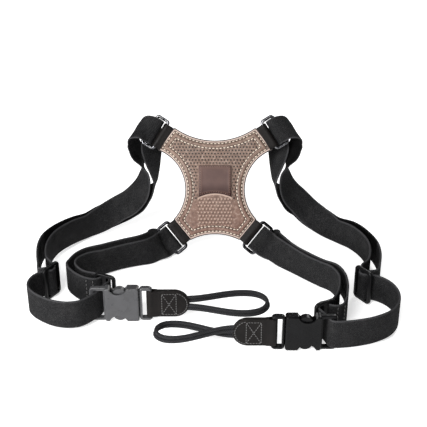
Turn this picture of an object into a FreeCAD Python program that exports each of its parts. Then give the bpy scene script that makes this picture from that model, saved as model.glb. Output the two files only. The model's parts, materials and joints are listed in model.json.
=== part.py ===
import FreeCAD, Part
import math
import os
from FreeCAD import Matrix, Placement, Rotation, Vector

# Binocular harness: a leather back plate with four metal rings, two webbing loops for the
# arms, four strap sliders, two side-release buckles standing on edge and, on each plug,
# a leather tab with a doubled cord loop. Layout axes: +X right, +Y away from the front,
# +Z up, with the right buckle's front face at y = 0. The last step moves the layout so
# that the origin is the centre of the footprint.

# ---- driving dimensions, mm ----
WEB_WIDTH = 25.0
WEB_THICK = 1.8
BUCKLE_WIDTH = 31.0
MID_HEIGHT = BUCKLE_WIDTH / 2
UP = Vector(0, 0, 1)
DOWN = Vector(0, 0, -1)

# back plate: centre, lean back from vertical and layers
PLATE_CENTRE = Vector(1.4, 179.2, 58.4)
PLATE_LEAN = 27.0
LEATHER_THICK = 1.6
FOAM_THICK = 3.0
LINING_THICK = 1.3
FOAM_INSET = 0.94
LAYER_GAP = 0.02
TOP_ARM_INNER = (37.6, 52.3)
TOP_ARM_OUTER = (53.7, 31.7)
LOW_ARM_OUTER = (38.7, -33.0)
LOW_ARM_INNER = (22.9, -52.3)
TOP_DIP = 40.2
LOW_RISE = -46.7
WAIST = (27.6, -7.0)
PATCH_WIDTH = 30.0
PATCH_HEIGHT = 29.0
PATCH_CORNER = 3.0
PATCH_THICK = 2.2
PATCH_CENTRE_UP = 2.5

# rings and the leather hangers that hold them
RING_LONG = 29.0
RING_SHORT = 12.0
RING_BAR = 1.5
RING_CORNER = 2.6
HANGER_REACH = 5.5
HANGER_WIDTH = 24.0
HANGER_RADIUS = 3.0
HANGER_HOLE = RING_BAR + 0.3
HANGER_GAP = {False: 1.35, True: 0.05}
RING_SKEW = {False: -6.0, True: 0.0}

# strap sliders
SLIDER_LENGTH = 20.0
SLIDER_THICK = 3.0
SLIDER_MID_BAR = 3.2
SLIDER_END_BAR = 2.6
SLIDER_WINDOW = 26.0
SLIDER_CORNER = 4.0
SLIDER_ROUND = 1.1
WINDOW_CORNER = 1.2

# side-release buckle, along L from the socket's mouth towards the plug's bar
SOCKET_BODY = 28.0
SOCKET_FRAME = 12.0
SOCKET_THICK = 8.6
SOCKET_WALL = 1.5
SOCKET_CORNER = 2.0
SOCKET_ROUND = 1.4
FRAME_THICK = 4.4
FRAME_OVERLAP = 4.0
FRAME_CORNER = 3.0
FRAME_ROUND = 1.2
FRAME_RAIL = 2.5
FRAME_BAR = 3.0
WINDOW_GAP = 0.8
CAVITY_DEPTH = 24.0
CAVITY_WIDTH = 26.0
NOTCH_CENTRE = -17.0
NOTCH_LENGTH = 15.0
NOTCH_DEPTH = 5.6
PLUG_GAP = 0.2
PLUG_BASE = 2.2
PLUG_BAR_AT = 9.0
PLUG_BAR = 1.6
PLUG_FRAME_THICK = 5.0
PLUG_ROUND = 1.3
TONGUE_LENGTH = 19.0
TONGUE_WIDTH = 6.0
TONGUE_THICK = 2.6
PRONG_LENGTH = 20.0
PRONG_ROOT = -0.6
PRONG_THICK = 2.0
PRONG_DEPTH = 5.2
PRONG_AT = 11.2
PRONG_HEAD_START = -20.5
PRONG_HEAD_END = -11.0
PRONG_HEAD_RISE = 2.6

# leather tab and cord loop
TAB_WIDTH = 24.5
TAB_THICK = 4.4
TAB_NOSE = 3.2
TAB_HOLE = PLUG_BAR + 0.3
TAB_END = 41.0
CORD = 3.0
CORD_INSIDE = 5.0
ARC_SHARE = 0.45

LOOP_STRETCH = {"left": 1.07, "right": 1.0}

# buckles: middle of the socket's mouth and heading of L in degrees
BUCKLES = {
    "left": (Vector(-60.5, 42.3, MID_HEIGHT), 0.0),
    "right": (Vector(55.5, 1.5, MID_HEIGHT), 180.0),
}

# the webbing's way through a ring: out from the arm's end, and height off the plate's plane
RING_PASS = {
    False: {"front": [(10.0, 0.1), (11.4, 3.5), (14.2, 4.6)], "back": [(10.0, -0.9), (11.2, -2.9)]},
    True: {"front": [(11.3, 0.1), (12.3, 3.0), (14.6, 3.9)],
           "back": [(11.2, -0.9), (12.0, -3.2), (15.2, -4.3)]},
}

# strap sliders: name -> (x, y, heading of the slider's length in degrees)
SLIDERS = {
    "slider_upper_left": (-137.5, 77.5, 60.0),
    "slider_upper_right": (126.0, 71.0, 123.4),
    "slider_lower_left": (-90.0, 62.0, 154.5),
    "slider_lower_right": (88.0, 21.0, 30.2),
}

# ---- plate frame: a to the right, b up the plate, n out of its front ----
LEAN = math.radians(PLATE_LEAN)
AXIS_A = Vector(1, 0, 0)
AXIS_B = Vector(0, math.sin(LEAN), math.cos(LEAN))
AXIS_N = Vector(0, -math.cos(LEAN), math.sin(LEAN))


def plate_point(a, b, n):
    """A point given along the plate's own axes."""
    return PLATE_CENTRE + plate_way(a, b, n)


def plate_way(a, b, n):
    """A direction given along the plate's own axes."""
    return AXIS_A * a + AXIS_B * b + AXIS_N * n


def plate_placement():
    turn = Matrix(
        AXIS_A.x, AXIS_B.x, AXIS_N.x, PLATE_CENTRE.x,
        AXIS_A.y, AXIS_B.y, AXIS_N.y, PLATE_CENTRE.y,
        AXIS_A.z, AXIS_B.z, AXIS_N.z, PLATE_CENTRE.z,
        0, 0, 0, 1,
    )
    return Placement(turn)


# ---- small builders ----
def box(low, high):
    size = Vector(high) - Vector(low)
    return Part.makeBox(size.x, size.y, size.z, Vector(low))


def placed(shape, placement):
    shape = shape.copy()
    shape.Placement = placement.multiply(shape.Placement)
    return shape


def polygon_with_arcs(edges):
    """A face from edges given as 2 points (line) or 3 points (arc), in the XY plane."""
    made = []
    for points in edges:
        vectors = [Vector(x, y, 0) for x, y in points]
        if len(vectors) == 2:
            made.append(Part.LineSegment(vectors[0], vectors[1]).toShape())
        else:
            made.append(Part.Arc(vectors[0], vectors[1], vectors[2]).toShape())
    return Part.Face(Part.Wire(made))


def rounded_face(width, height, radius, x=0.0, y=0.0):
    """A rectangle with round corners, centred on x, y."""
    w, h, r = width / 2, height / 2, radius
    k = r * (1 - math.sqrt(0.5))
    corners = [(1, 1), (-1, 1), (-1, -1), (1, -1)]
    edges = []
    for i, (sx, sy) in enumerate(corners):
        before = (x + sx * w, y + sy * (h - r))
        after = (x + sx * (w - r), y + sy * h)
        if i % 2:
            before, after = after, before
        middle = (x + sx * (w - k), y + sy * (h - k))
        edges.append([before, middle, after])
    whole = []
    for i, edge in enumerate(edges):
        whole.append(edge)
        whole.append([edge[2], edges[(i + 1) % 4][0]])
    return polygon_with_arcs(whole)


def extrude(face, low, high):
    """Extrude a face in the XY plane from z = low to z = high."""
    solid = face.extrude(Vector(0, 0, high - low))
    solid.translate(Vector(0, 0, low))
    return solid


def ribbon(stations, width=WEB_WIDTH, thick=WEB_THICK):
    """Flat webbing through stations of (centre, width direction), closed by flat triangles."""
    rings = []
    last = len(stations) - 1
    for i, (centre, across) in enumerate(stations):
        ahead = stations[min(i + 1, last)][0] - stations[max(i - 1, 0)][0]
        ahead.normalize()
        across = across - ahead * across.dot(ahead)
        across.normalize()
        face_way = ahead.cross(across)
        ring = []
        for w, t in ((-1, -1), (1, -1), (1, 1), (-1, 1)):
            ring.append(centre + across * (w * width / 2) + face_way * (t * thick / 2))
        rings.append(ring)
    faces = [rings[0][::-1], rings[-1]]
    for near, far in zip(rings, rings[1:]):
        for i in range(4):
            j = (i + 1) % 4
            faces.append([near[i], near[j], far[j]])
            faces.append([near[i], far[j], far[i]])
    shell = Part.Shell([Part.Face(Part.makePolygon(face + face[:1])) for face in faces])
    solid = Part.Solid(shell)
    if solid.Volume < 0:
        solid.reverse()
    return solid


# ---- back plate ----
def plate_face(scale=1.0):
    """The four-armed outline, with its concave sides as arcs."""
    def at(x, y):
        return (x * scale, y * scale)

    tix, tiy = TOP_ARM_INNER
    tox, toy = TOP_ARM_OUTER
    lox, loy = LOW_ARM_OUTER
    lix, liy = LOW_ARM_INNER
    wx, wy = WAIST
    return polygon_with_arcs([
        [at(-tix, tiy), at(0, TOP_DIP), at(tix, tiy)],
        [at(tix, tiy), at(tox, toy)],
        [at(tox, toy), at(wx, wy), at(lox, loy)],
        [at(lox, loy), at(lix, liy)],
        [at(lix, liy), at(0, LOW_RISE), at(-lix, liy)],
        [at(-lix, liy), at(-lox, loy)],
        [at(-lox, loy), at(-wx, wy), at(-tox, toy)],
        [at(-tox, toy), at(-tix, tiy)],
    ])


def make_plate():
    foam_low = -FOAM_THICK / 2
    foam_high = FOAM_THICK / 2
    front = foam_high + LEATHER_THICK
    back = foam_low - LINING_THICK
    patch_face = rounded_face(PATCH_WIDTH, PATCH_HEIGHT, PATCH_CORNER, 0, PATCH_CENTRE_UP)
    flat = {
        "back_leather": extrude(plate_face(), foam_high, front),
        "foam_pad": extrude(plate_face(FOAM_INSET), foam_low + LAYER_GAP, foam_high - LAYER_GAP),
        "back_lining": extrude(plate_face(), back, foam_low),
        "front_patch": extrude(patch_face, front + LAYER_GAP, front + PATCH_THICK),
    }
    frame = plate_placement()
    return {name: placed(shape, frame) for name, shape in flat.items()}


# ---- rings and hangers: local x out of the arm, y along the arm's end, z the plate's n ----
def arm_frame(low, side):
    """Middle of an arm's end and its outward and along directions, in plate axes."""
    inner, outer = (LOW_ARM_INNER, LOW_ARM_OUTER) if low else (TOP_ARM_INNER, TOP_ARM_OUTER)
    middle = Vector((inner[0] + outer[0]) / 2 * side, (inner[1] + outer[1]) / 2, 0)
    along = Vector((outer[0] - inner[0]) * side, outer[1] - inner[1], 0)
    along.normalize()
    out = Vector(along.y, -along.x, 0)
    if out.x * side < 0:
        out = out * -1
    skew = math.radians(RING_SKEW[low] * side)
    across = Vector(-out.y, out.x, 0)
    return middle, out * math.cos(skew) + across * math.sin(skew)


def arm_placement(low, side):
    middle, out = arm_frame(low, side)
    angle = math.degrees(math.atan2(out.y, out.x))
    local = Placement(middle, Rotation(Vector(0, 0, 1), angle))
    return plate_placement().multiply(local)


def ring_local():
    """A closed rectangular ring of round bar, in the XY plane round its own centre."""
    half_long = RING_LONG / 2
    half_short = RING_SHORT / 2
    path = rounded_face(RING_SHORT, RING_LONG, RING_CORNER).OuterWire
    path.translate(Vector(HANGER_REACH + half_short, 0, 0))
    start = Vector(HANGER_REACH + RING_SHORT, half_long - RING_CORNER, 0)
    section = Part.Wire(Part.Circle(start, Vector(0, 1, 0), RING_BAR).toShape())
    return path.makePipeShell([section], True, False)


def hanger_local(low):
    """Leather folded round the ring's inner bar, open for the bar."""
    r = HANGER_RADIUS
    reach = HANGER_REACH
    slab = box((HANGER_GAP[low], -r, 0), (reach, r, HANGER_WIDTH))
    nose = Part.makeCylinder(r, HANGER_WIDTH, Vector(reach, 0, 0))
    hole = Part.makeCylinder(HANGER_HOLE, HANGER_WIDTH, Vector(reach, 0, 0))
    solid = slab.fuse(nose).cut(hole).removeSplitter()
    solid.translate(Vector(0, 0, -HANGER_WIDTH / 2))
    solid.rotate(Vector(0, 0, 0), Vector(1, 0, 0), 90)
    return solid


def make_rings():
    made = {}
    for level, low in (("top", False), ("low", True)):
        for name, side in (("left", -1), ("right", 1)):
            frame = arm_placement(low, side)
            made["ring_%s_%s" % (level, name)] = placed(ring_local(), frame)
            made["hanger_%s_%s" % (level, name)] = placed(hanger_local(low), frame)
    return made


# ---- strap sliders: local x along the slider, y through it, z up ----
def slider_local():
    half = SLIDER_LENGTH / 2
    outline = rounded_face(SLIDER_LENGTH, BUCKLE_WIDTH, SLIDER_CORNER)
    plate = extrude(outline, -SLIDER_THICK / 2, SLIDER_THICK / 2)
    plate = plate.makeFillet(SLIDER_ROUND, plate.Edges)
    window_low = SLIDER_MID_BAR / 2
    window_high = half - SLIDER_END_BAR
    for side in (-1, 1):
        x = side * (window_low + window_high) / 2
        hole = rounded_face(window_high - window_low, SLIDER_WINDOW, WINDOW_CORNER, x, 0)
        plate = plate.cut(extrude(hole, -SLIDER_THICK, SLIDER_THICK))
    plate.rotate(Vector(0, 0, 0), Vector(1, 0, 0), 90)
    return plate


def make_sliders():
    made = {}
    for name, (x, y, heading) in SLIDERS.items():
        frame = Placement(Vector(x, y, MID_HEIGHT), Rotation(UP, heading))
        made[name] = placed(slider_local(), frame)
    return made


# ---- buckles: local x = L, y through the thickness, z across the width ----
def side_face(edges):
    """A face drawn in L, z and turned to stand up in the XZ plane."""
    face = polygon_with_arcs(edges)
    face.rotate(Vector(0, 0, 0), Vector(1, 0, 0), 90)
    return face


def slab(edges, thick):
    """Extrude an outline drawn in L, z through the thickness, centred on y = 0."""
    face = side_face(edges)
    solid = face.extrude(Vector(0, thick, 0))
    solid.translate(Vector(0, -thick / 2, 0))
    return solid


def rounded_slab(low_l, high_l, width, radius, thick):
    face = rounded_face(high_l - low_l, width, radius, (low_l + high_l) / 2, 0)
    face.rotate(Vector(0, 0, 0), Vector(1, 0, 0), 90)
    solid = face.extrude(Vector(0, thick, 0))
    solid.translate(Vector(0, -thick / 2, 0))
    return solid


def socket_local():
    """Hollow socket with side notches, and the slotted frame that holds the webbing."""
    body = rounded_slab(-SOCKET_BODY, 0, BUCKLE_WIDTH, SOCKET_CORNER, SOCKET_THICK)
    body = body.makeFillet(SOCKET_ROUND, body.Edges)
    frame_low = -SOCKET_BODY - SOCKET_FRAME
    frame_high = -SOCKET_BODY + FRAME_OVERLAP
    frame = rounded_slab(frame_low, frame_high, BUCKLE_WIDTH, FRAME_CORNER, FRAME_THICK)
    frame = frame.makeFillet(FRAME_ROUND, frame.Edges)
    window_low = frame_low + FRAME_BAR
    window_high = -SOCKET_BODY - WINDOW_GAP
    window_width = BUCKLE_WIDTH - 2 * FRAME_RAIL
    window = rounded_slab(window_low, window_high, window_width, WINDOW_CORNER, 2 * SOCKET_THICK)
    solid = body.fuse(frame).cut(window)
    cavity_thick = SOCKET_THICK - 2 * SOCKET_WALL
    half_width = CAVITY_WIDTH / 2
    cavity = box((-CAVITY_DEPTH, -cavity_thick / 2, -half_width), (1, cavity_thick / 2, half_width))
    solid = solid.cut(cavity)
    edge = BUCKLE_WIDTH / 2
    half = NOTCH_LENGTH / 2
    for side in (-1, 1):
        notch = slab([
            [(NOTCH_CENTRE - half, side * (edge + 1)), (NOTCH_CENTRE - half, side * edge)],
            [
                (NOTCH_CENTRE - half, side * edge),
                (NOTCH_CENTRE, side * (edge - NOTCH_DEPTH)),
                (NOTCH_CENTRE + half, side * edge),
            ],
            [(NOTCH_CENTRE + half, side * edge), (NOTCH_CENTRE + half, side * (edge + 1))],
            [(NOTCH_CENTRE + half, side * (edge + 1)), (NOTCH_CENTRE - half, side * (edge + 1))],
        ], 2 * SOCKET_THICK)
        solid = solid.cut(notch)
    return solid.removeSplitter()


def plug_local():
    """Plug frame with its bar for the tab, a flange at the mouth and the centre tongue."""
    half = BUCKLE_WIDTH / 2
    high = PLUG_BAR_AT + PLUG_BAR
    frame = rounded_slab(PLUG_GAP, high, BUCKLE_WIDTH, FRAME_CORNER, PLUG_FRAME_THICK)
    frame = frame.makeFillet(PLUG_ROUND, frame.Edges)
    window = box(
        (PLUG_GAP + PLUG_BASE, -SOCKET_THICK, FRAME_RAIL - half),
        (high + 1, SOCKET_THICK, half - FRAME_RAIL),
    )
    bar = Part.makeCylinder(PLUG_BAR, BUCKLE_WIDTH - 2, Vector(PLUG_BAR_AT, 0, 1 - half))
    tongue = box(
        (-TONGUE_LENGTH, -TONGUE_THICK / 2, -TONGUE_WIDTH / 2),
        (PLUG_GAP + 1, TONGUE_THICK / 2, TONGUE_WIDTH / 2),
    )
    return frame.cut(window).fuse([bar, tongue]).removeSplitter()


def prong_local(side):
    """One spring arm with the button that shows in the socket's notch."""
    depth = PRONG_DEPTH / 2
    thick = PRONG_THICK / 2
    arm = box((-PRONG_LENGTH, -depth, -thick), (PRONG_ROOT, depth, thick))
    rise = thick + PRONG_HEAD_RISE
    head = slab([
        [(PRONG_HEAD_START, 0.0), (PRONG_HEAD_START, side * thick)],
        [
            (PRONG_HEAD_START, side * thick),
            ((PRONG_HEAD_START + PRONG_HEAD_END) / 2, side * rise),
            (PRONG_HEAD_END, side * thick),
        ],
        [(PRONG_HEAD_END, side * thick), (PRONG_HEAD_END, 0.0)],
        [(PRONG_HEAD_END, 0.0), (PRONG_HEAD_START, 0.0)],
    ], PRONG_DEPTH)
    solid = arm.fuse(head).removeSplitter()
    solid.translate(Vector(0, 0, side * PRONG_AT))
    return solid


def tab_local():
    """Leather folded round the plug's bar, with a round far end."""
    half = TAB_WIDTH / 2
    far = TAB_END - half
    outline = slab([
        [(PLUG_BAR_AT, -half), (far, -half)],
        [(far, -half), (TAB_END, 0), (far, half)],
        [(far, half), (PLUG_BAR_AT, half)],
        [(PLUG_BAR_AT, half), (PLUG_BAR_AT, -half)],
    ], TAB_THICK)
    nose = Part.makeCylinder(TAB_NOSE, TAB_WIDTH, Vector(PLUG_BAR_AT, 0, -half))
    hole = Part.makeCylinder(TAB_HOLE, TAB_WIDTH, Vector(PLUG_BAR_AT, 0, -half))
    return outline.fuse(nose).cut(hole).removeSplitter()


# Each cord of a loop: L past the tab's end, sideways, and up. It leaves on the back side,
# turns round the far end and comes back on the front side, below where it left.
CORD_HIGH = [
    (-CORD_INSIDE, 0.3, 4.8), (4.0, 1.0, 4.8), (15.0, 4.4, 4.5), (27.0, 9.2, 4.0), (37.0, 12.2, 3.4),
    (46.8, 12.9, 2.9), (54.4, 10.3, 2.4), (59.1, 3.9, 1.9), (59.0, -4.1, 1.3), (54.2, -10.4, 0.7),
    (46.6, -12.9, 0.1), (37.0, -12.4, -0.4), (27.0, -9.4, -0.9), (15.0, -4.7, -1.3),
    (4.0, -1.2, -1.6), (-CORD_INSIDE, -0.3, -1.6),
]
CORD_LOW = [
    (-CORD_INSIDE, 0.3, 1.6), (4.0, 1.2, 1.6), (15.0, 4.7, 1.3), (27.0, 9.5, 0.8), (37.0, 12.6, 0.2),
    (47.0, 13.3, -0.3), (55.0, 10.6, -0.8), (59.9, 4.1, -1.3), (59.9, -3.8, -1.9), (54.9, -10.4, -2.5),
    (47.0, -13.0, -3.1), (37.0, -12.3, -3.6), (27.0, -9.2, -4.1), (15.0, -4.5, -4.5),
    (4.0, -1.0, -4.8), (-CORD_INSIDE, -0.3, -4.8),
]


def cord_tube(name, points, diameter):
    """A tube along straight runs joined by tangent arcs as large as the runs allow."""
    edges = []
    radii = []
    here = points[0]
    for i in range(1, len(points) - 1):
        before = points[i] - points[i - 1]
        after = points[i + 1] - points[i]
        turn = before.getAngle(after)
        shorter = min(before.Length, after.Length)
        cut = ARC_SHARE * shorter
        radius = cut / math.tan(turn / 2)
        radii.append(radius)
        start = points[i] - before.normalize() * cut
        end = points[i] + after.normalize() * cut
        inward = after - before
        inward.normalize()
        middle = points[i] + inward * (radius / math.cos(turn / 2) - radius)
        edges.append(Part.LineSegment(here, start).toShape())
        edges.append(Part.Arc(start, middle, end).toShape())
        here = end
    edges.append(Part.LineSegment(here, points[-1]).toShape())
    path = Part.Wire(edges)
    length = path.Length
    first = points[1] - points[0]
    section = Part.Wire(Part.Circle(points[0], first, diameter / 2).toShape())
    tube = path.makePipeShell([section], True, False)
    expected = math.pi * diameter ** 2 / 4 * length
    print("%s length %.1f volume ratio %.4f radii %s" % (
        name, length, tube.Volume / expected, " ".join("%.0f" % r for r in radii)))
    return tube


def buckle_placement(side):
    mouth, turn = BUCKLES[side]
    return Placement(mouth, Rotation(UP, turn))


def make_buckle(side):
    """One buckle with its prongs, tab and the two cords of its loop."""
    frame = buckle_placement(side)
    stretch = LOOP_STRETCH[side]
    made = {
        "socket_%s" % side: placed(socket_local(), frame),
        "plug_%s" % side: placed(plug_local(), frame),
        "prong_upper_%s" % side: placed(prong_local(1), frame),
        "prong_lower_%s" % side: placed(prong_local(-1), frame),
        "cord_tab_%s" % side: placed(tab_local(), frame),
    }
    for level, route in (("high", CORD_HIGH), ("low", CORD_LOW)):
        name = "cord_%s_%s" % (level, side)
        points = [frame.multVec(Vector(TAB_END + p[0] * stretch, p[1], p[2])) for p in route]
        made[name] = cord_tube(name, points, CORD)
    return made


# ---- webbing ----
def ring_stations(low, side, layer):
    """The webbing's turn round a ring's outer bar, on its front or back."""
    middle, out = arm_frame(low, side)
    along = Vector(out.y, -out.x, 0)
    if along.y > 0:
        along = along * -1
    made = []
    for reach, height in RING_PASS[low][layer]:
        point = middle + out * reach
        made.append((plate_point(point.x, point.y, height), plate_way(along.x, along.y, 0)))
    return made


def plate_stations(side, rows):
    """Stations in plate axes: (a, b, n, wa, wb, wn), mirrored for the left side."""
    made = []
    for a, b, n, wa, wb, wn in rows:
        made.append((plate_point(side * a, b, n), plate_way(side * wa, wb, wn)))
    return made


# The front layer leaves the ring in a loose curl, then twists to stand on edge.
CURL_ROWS = [
    (62.4, 50.9, 5.0, 0.24, -0.94, 0.10),
    (69.2, 50.7, 4.0, 0.06, -0.74, 0.67),
    (74.2, 48.4, 1.0, 0.02, -0.42, 0.91),
    (77.0, 44.6, -2.0, 0.14, -0.18, 0.97),
    (76.6, 39.8, -5.0, 0.36, -0.14, 0.92),
    (74.2, 33.4, -7.5, 0.46, -0.07, 0.88),
    (71.4, 25.6, -9.5, 0.38, -0.06, 0.92),
    (68.0, 18.9, -11.0, 0.08, -0.04, 0.98),
    (66.2, 11.2, -13.0, -0.34, -0.11, 0.93),
    (67.4, 2.2, -16.0, -0.58, -0.25, 0.78),
    (72.2, -7.6, -20.0, -0.74, -0.42, 0.52),
    (80.4, -15.8, -25.0, -0.74, -0.60, 0.30),
]
# The back layer hangs straight down behind the ring.
HANG_ROWS = [
    (57.0, 49.0, -5.4, 0.58, -0.80, 0.05),
    (58.4, 47.4, -9.6, 0.62, -0.75, 0.15),
    (59.4, 42.0, -13.5, 0.68, -0.62, 0.38),
    (60.0, 33.4, -16.0, 0.72, -0.26, 0.64),
    (59.2, 24.6, -16.5, 0.60, -0.06, 0.80),
    (58.0, 17.4, -17.0, 0.44, 0.0, 0.90),
    (56.8, 9.5, -18.0, 0.22, -0.02, 0.975),
    (56.6, 1.5, -19.5, 0.0, -0.10, 0.99),
    (60.8, -5.5, -22.0, -0.28, -0.25, 0.92),
    (69.0, -12.3, -26.0, -0.60, -0.42, 0.68),
    (81.5, -19.7, -32.6, -0.70, -0.58, 0.42),
]
# The first station of each under-arm layer past the ring's outer bar.
UNDERARM_START = {
    "inner": [(47.6, -56.3, 3.6, -0.634, -0.775, 0.0)],
    "outer": [(46.6, -55.6, -3.9, -0.66, -0.70, 0.15)],
}

SHOULDER = {
    "left": {
        "front": [(-92.5, 196.5, 23.5, 0.6, -0.44, -0.65), (-106, 189, 17.5, 0.3, -0.25, -0.92),
                  (-119, 180, 14), (-132, 164), (-143, 147), (-147.5, 127), (-147, 110),
                  (-143.5, 96), (-138.5, 88.5), (-135.9, 82.5)],
        "back": [(-93, 201.6, 19.8, 0.6, -0.46, -0.65), (-107.5, 196, 16.6, 0.3, -0.25, -0.92),
                 (-121, 187, 15), (-134, 170.5), (-147, 155), (-154, 139), (-155.5, 122),
                 (-153.5, 104), (-150, 88), (-147, 78)],
    },
    "right": {
        "front": [(91.5, 191.5, 23.5, -0.6, -0.44, -0.65), (104, 181, 17.5, -0.3, -0.25, -0.92),
                  (116, 170, 14), (127, 155), (135.5, 137), (138, 120), (136.5, 105), (133, 93),
                  (126.5, 84.5), (123.9, 76)],
        "back": [(92.2, 194.8, 21.0, -0.6, -0.46, -0.65), (103.8, 187.4, 17, -0.3, -0.25, -0.92),
                 (116, 178, 15), (131, 161), (141.5, 141),
                 (146, 122), (145.5, 104), (142, 87), (138.5, 76)],
    },
}

CHEST = {
    "left": [(-140.5, 74.1), (-145.3, 71.6), (-149.8, 66.6), (-152.5, 58), (-151.5, 49), (-146.5, 41),
             (-138, 33.2), (-127.5, 27.2), (-116.5, 24.8), (-108, 26.4), (-102, 31), (-98, 35.8),
             (-94.9, 39.6), (-92.7, 43.6), (-91.2, 48.2), (-88.8, 52.8), (-86.3, 56.6)],
    "right": [(129.2, 67.8), (133.8, 66.6), (139.5, 63), (145.5, 56), (149, 46.5), (149.5, 36),
              (146.8, 24.5), (138.5, 12.8), (126, 4.6), (112, -0.2), (100, -2.3), (94.6, -2.5),
              (91.2, -1.5), (89.2, 1.6), (87.9, 5.6), (86.2, 9.6), (84.2, 13), (82.9, 16)],
}

# Width directions of the lower straps near their ring, then standing on edge.
UNDERARM = {
    "left": {
        "inner": [(-48.2, 144.4, 12.2, 0.48, 0.0, -0.88), (-57.1, 134.0, 12.2, 0.40, 0.07, -0.91),
                  (-68, 127.0, 12.8, 0.25, 0.08, -0.96), (-80, 121.5, 13),
                  (-98, 111.5, 14), (-111, 103), (-117.5, 95), (-118, 86.5), (-114, 79),
                  (-107.5, 73), (-101.5, 70.8), (-94, 67.8)],
        "outer": [(-52.4, 156.4, 12.6, 0.46, -0.36, -0.81), (-56.8, 147.2, 13.0, 0.3, -0.1, -0.95),
                  (-66, 138.5, 12.9), (-80, 131.5, 13),
                  (-99, 121, 14), (-117, 109.5), (-125.5, 101), (-127, 91), (-124, 82),
                  (-118.5, 73.5), (-111, 66), (-104, 61.8), (-98.5, 60.6), (-94.4, 62.4)],
    },
    "right": {
        "inner": [(50.8, 144.4, 12.2, -0.48, 0.0, -0.88), (60, 130.8, 12.3, -0.32, 0.04, -0.94),
                  (70, 117.6, 12.8, -0.15, 0.04, -0.98), (81, 104, 13), (92, 91, 14),
                  (100.5, 80), (104.5, 68.5), (104, 56), (101.5, 44), (98, 35), (94.3, 29.2), (91.5, 27.1)],
        "outer": [(55.2, 156.4, 12.6, -0.46, -0.36, -0.81), (60.6, 145.4, 12.8, -0.3, -0.15, -0.94),
                  (69.5, 132, 12.9), (79, 118, 13), (88.5, 105, 13.4), (98, 93, 14.4),
                  (105.8, 83), (110, 70), (110.5, 56), (108.5, 41), (105.5, 28.5), (101.5, 21.5),
                  (96.8, 20), (92, 21.5)],
    },
}


def table_stations(rows):
    """Stations on the table, standing on edge unless a row gives its own width direction."""
    made = []
    for row in rows:
        height = row[2] if len(row) > 2 else MID_HEIGHT
        across = Vector(*row[3:6]) if len(row) > 3 else DOWN
        made.append((Vector(row[0], row[1], height), across))
    return made


def make_straps():
    made = {}
    for name, side in (("left", -1), ("right", 1)):
        for layer, rows in (("front", CURL_ROWS), ("back", HANG_ROWS)):
            stations = ring_stations(False, side, layer)
            stations += plate_stations(side, rows)
            stations += table_stations(SHOULDER[name][layer])
            made["shoulder_strap_%s_%s" % (layer, name)] = ribbon(stations)
        for layer in ("inner", "outer"):
            stations = ring_stations(True, side, "front" if layer == "inner" else "back")
            stations += plate_stations(side, UNDERARM_START[layer])
            stations += table_stations(UNDERARM[name][layer])
            made["underarm_strap_%s_%s" % (layer, name)] = ribbon(stations)
        made["chest_strap_%s" % name] = ribbon(table_stations(CHEST[name]))
    return made


def make_all():
    made = {}
    made.update(make_plate())
    made.update(make_rings())
    made.update(make_straps())
    made.update(make_sliders())
    made.update(make_buckle("left"))
    made.update(make_buckle("right"))
    return made


def origin_shift(parts):
    """The move that puts the origin under the middle of the box of everything but the cords."""
    whole = FreeCAD.BoundBox()
    for name, shape in parts.items():
        if not name.startswith(("cord_high", "cord_low")):
            whole.add(shape.optimalBoundingBox(False))
    print("box without cords %.2f x %.2f x %.2f" % (whole.XLength, whole.YLength, whole.ZLength))
    return Vector(-whole.Center.x, -whole.Center.y, -whole.ZMin)


def main():
    parts = make_all()
    shift = origin_shift(parts)
    print("layout moved by %.3f %.3f %.3f" % (shift.x, shift.y, shift.z))
    os.makedirs("parts", exist_ok=True)
    for name, shape in parts.items():
        shape.translate(shift)
        shape.exportStep("parts/%s.step" % name)


main()
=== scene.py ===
import bpy
import json
import math
from mathutils import Matrix, Vector
from mathutils.geometry import delaunay_2d_cdt

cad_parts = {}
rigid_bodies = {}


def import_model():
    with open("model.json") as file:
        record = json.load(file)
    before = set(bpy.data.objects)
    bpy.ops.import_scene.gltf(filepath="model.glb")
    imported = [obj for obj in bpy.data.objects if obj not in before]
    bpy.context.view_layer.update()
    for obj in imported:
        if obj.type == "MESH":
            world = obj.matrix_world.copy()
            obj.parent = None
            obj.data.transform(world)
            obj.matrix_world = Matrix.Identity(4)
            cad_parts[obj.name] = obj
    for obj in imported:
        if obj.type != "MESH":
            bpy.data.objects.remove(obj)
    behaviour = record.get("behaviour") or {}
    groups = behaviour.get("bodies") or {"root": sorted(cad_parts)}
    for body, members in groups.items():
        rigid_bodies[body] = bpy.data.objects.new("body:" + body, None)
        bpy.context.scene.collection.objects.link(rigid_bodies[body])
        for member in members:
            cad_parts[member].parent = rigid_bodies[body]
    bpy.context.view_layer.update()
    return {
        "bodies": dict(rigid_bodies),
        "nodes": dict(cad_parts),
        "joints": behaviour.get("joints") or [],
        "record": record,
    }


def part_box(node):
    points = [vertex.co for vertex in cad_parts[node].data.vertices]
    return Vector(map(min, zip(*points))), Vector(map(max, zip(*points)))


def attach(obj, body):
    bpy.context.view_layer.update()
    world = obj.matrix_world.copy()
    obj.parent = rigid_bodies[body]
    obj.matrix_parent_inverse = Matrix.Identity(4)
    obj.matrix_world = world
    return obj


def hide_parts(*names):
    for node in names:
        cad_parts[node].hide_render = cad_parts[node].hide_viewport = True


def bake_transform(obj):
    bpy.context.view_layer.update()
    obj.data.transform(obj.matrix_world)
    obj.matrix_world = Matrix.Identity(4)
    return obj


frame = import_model()

# Lengths are millimetres in the layout's axes, as in the part's own source: +X right,
# +Y away from the front, +Z up. place() moves them to the frame's origin, in metres.
MM = 0.001
SIDES = (("left", -1), ("right", 1))
DOWN = Vector((0, 0, -1))

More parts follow.
